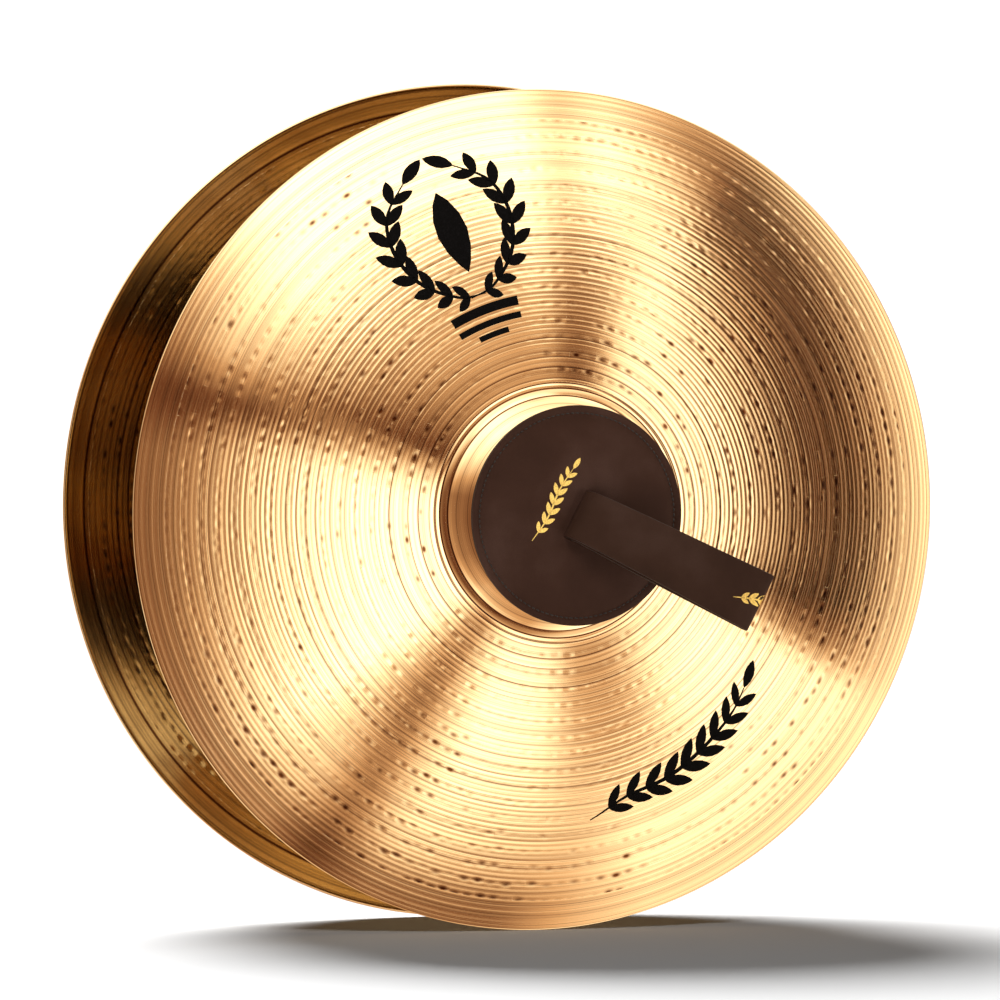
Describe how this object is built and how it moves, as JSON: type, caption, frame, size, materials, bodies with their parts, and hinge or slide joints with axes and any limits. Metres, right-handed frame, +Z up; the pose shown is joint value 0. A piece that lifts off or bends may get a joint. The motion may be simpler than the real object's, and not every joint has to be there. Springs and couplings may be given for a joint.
{
  "type": "hand cymbals",
  "caption": "Pair of large bronze hand cymbals facing each other, with belled plates, padded leather discs and folded leather hand straps.",
  "frame": {"origin": "centre of the pair's box, on the common axis, midway between the two plates", "axes": "+Y along the common axis of the two cymbals, from the front one to the rear one; +Z up across the plates; +X across the plates"},
  "size_m": [0.5078, 0.4164, 0.5078],
  "materials": {
    "bronze": "lathed and polished cast bronze, brilliant",
    "pad_leather": "dark brown smooth leather",
    "strap_leather": "dark brown bridle leather, matt cut edges",
    "pad_felt": "pressed wool felt",
    "thread": "black waxed thread"
  },
  "bodies": {
    "front_plate": {"front_cymbal": "bronze"},
    "front_harness": {"front_pad_cover": "pad_leather", "front_pad_filling": "pad_felt", "front_pad_backing": "pad_leather", "front_pad_stitching": "thread", "front_strap_tails": "strap_leather", "front_strap_knot": "strap_leather"},
    "front_loop": {"front_strap_grip": "strap_leather"},
    "rear_plate": {"rear_cymbal": "bronze"},
    "rear_harness": {"rear_pad_cover": "pad_leather", "rear_pad_filling": "pad_felt", "rear_pad_backing": "pad_leather", "rear_pad_stitching": "thread", "rear_strap_tails": "strap_leather", "rear_strap_knot": "strap_leather"},
    "rear_loop": {"rear_strap_grip": "strap_leather"}
  },
  "joints": [
    {"name": "front_harness_turn", "type": "hinge", "parent": "front_plate", "child": "front_harness", "pos_m": [0, -0.0695, 0], "axis": [0, -1, 0], "continuous": true},
    {"name": "front_strap_fold", "type": "hinge", "parent": "front_harness", "child": "front_loop", "pos_m": [0, -0.1648, 0], "axis": [-0.4695, 0, -0.8829], "range_deg": [-9, 149]},
    {"name": "rear_harness_turn", "type": "hinge", "parent": "rear_plate", "child": "rear_harness", "pos_m": [0, 0.0695, 0], "axis": [0, 1, 0], "continuous": true},
    {"name": "rear_strap_fold", "type": "hinge", "parent": "rear_harness", "child": "rear_loop", "pos_m": [0, 0.1648, 0], "axis": [0.4695, 0, -0.8829], "range_deg": [-9, 149]},
    {"name": "cymbals_close", "type": "slide", "parent": "front_plate", "child": "rear_plate", "axis": [0, 1, 0], "range_m": [-0.1384, 0.25]}
  ]
}
